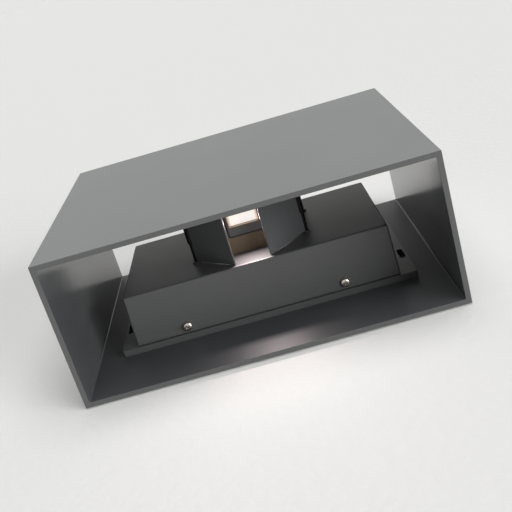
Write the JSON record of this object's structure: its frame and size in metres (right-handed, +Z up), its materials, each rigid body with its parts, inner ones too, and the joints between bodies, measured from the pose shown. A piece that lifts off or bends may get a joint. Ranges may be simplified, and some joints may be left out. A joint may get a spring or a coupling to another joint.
{
  "type": "up and down wall light",
  "caption": "Rectangular open-ended sleeve wall light with a sealed driver box, a central lamp shining up and down, and hinged flaps that set the width of each beam.",
  "frame": {"origin": "middle of the sleeve's back face, on the wall plane", "axes": "+Z up the wall along the sleeve's open direction, +Y into the wall, +X to the right of someone who faces the light"},
  "size_m": [0.215, 0.086, 0.18],
  "materials": {
    "sleeve_coat": "matt graphite powder coat, very fine texture",
    "cover_coat": "satin charcoal powder coat over a lightly brushed face",
    "plate_coat": "satin charcoal powder coat",
    "lamp_coat": "matt charcoal powder coat",
    "flap_coat": "matt charcoal powder coat with sheared bare edges",
    "bright_steel": "bright nickel-plated steel",
    "black_steel": "black oxide",
    "black_rubber": "matt",
    "nylon": "black nylon",
    "lit_glass": "frosted, lit from behind",
    "clear_silicone": "translucent silicone",
    "white_board": "white solder mask on aluminium",
    "led_phosphor": "warm white phosphor",
    "driver_case": "white moulded case",
    "terminal_body": "natural polyamide",
    "brass_plated": "plated brass",
    "tinned_copper": "tinned copper",
    "lead_sleeving": "silicone sleeving",
    "earth_sleeving": "green and yellow sleeving"
  },
  "bodies": {
    "housing": {"sleeve": "sleeve_coat", "base_plate": "plate_coat", "screw_blocks": "plate_coat", "sleeve_screws": "bright_steel", "cable_grommet": "black_rubber", "driver_cover": "cover_coat", "cover_gasket": "black_rubber", "cover_screws": "bright_steel", "lamp_pedestal": "lamp_coat", "pedestal_screws": "bright_steel", "head_gaskets": "black_rubber", "lamp_head": "lamp_coat", "hinge_bridge": "lamp_coat", "bridge_screws": "bright_steel", "rod_washers": "nylon", "led_driver": "driver_case", "driver_screws": "bright_steel", "terminal_block": "terminal_body", "terminal_clamps": "brass_plated", "terminal_screw": "bright_steel", "earth_tag": "tinned_copper", "earth_screw": "bright_steel", "earth_lead": "earth_sleeving", "mains_leads": "lead_sleeving", "lead_grommet": "black_rubber", "window_frame_upper": "lamp_coat", "window_glass_upper": "lit_glass", "window_seal_upper": "clear_silicone", "led_board_upper": "white_board", "led_chips_upper": "led_phosphor", "lamp_leads_upper": "lead_sleeving", "window_frame_lower": "lamp_coat", "window_glass_lower": "lit_glass", "window_seal_lower": "clear_silicone", "led_board_lower": "white_board", "led_chips_lower": "led_phosphor", "lamp_leads_lower": "lead_sleeving"},
    "upper_left_flap": {"flap_upper_left": "flap_coat", "rod_upper_left": "black_steel"},
    "upper_right_flap": {"flap_upper_right": "flap_coat", "rod_upper_right": "black_steel"},
    "lower_left_flap": {"flap_lower_left": "flap_coat", "rod_lower_left": "black_steel"},
    "lower_right_flap": {"flap_lower_right": "flap_coat", "rod_lower_right": "black_steel"}
  },
  "joints": [
    {"name": "upper_left_swing", "type": "hinge", "parent": "housing", "child": "upper_left_flap", "pos_m": [-0.034, -0.0588, 0.0195], "axis": [0, -1, 0], "range_deg": [-20, 47.5]},
    {"name": "upper_right_swing", "type": "hinge", "parent": "housing", "child": "upper_right_flap", "pos_m": [0.034, -0.0588, 0.0195], "axis": [0, 1, 0], "range_deg": [-20, 47.5]},
    {"name": "lower_left_swing", "type": "hinge", "parent": "housing", "child": "lower_left_flap", "pos_m": [-0.0356, -0.0588, -0.0195], "axis": [0, 1, 0], "range_deg": [-20, 47.5]},
    {"name": "lower_right_swing", "type": "hinge", "parent": "housing", "child": "lower_right_flap", "pos_m": [0.0356, -0.0588, -0.0195], "axis": [0, -1, 0], "range_deg": [-20, 47.5]}
  ]
}
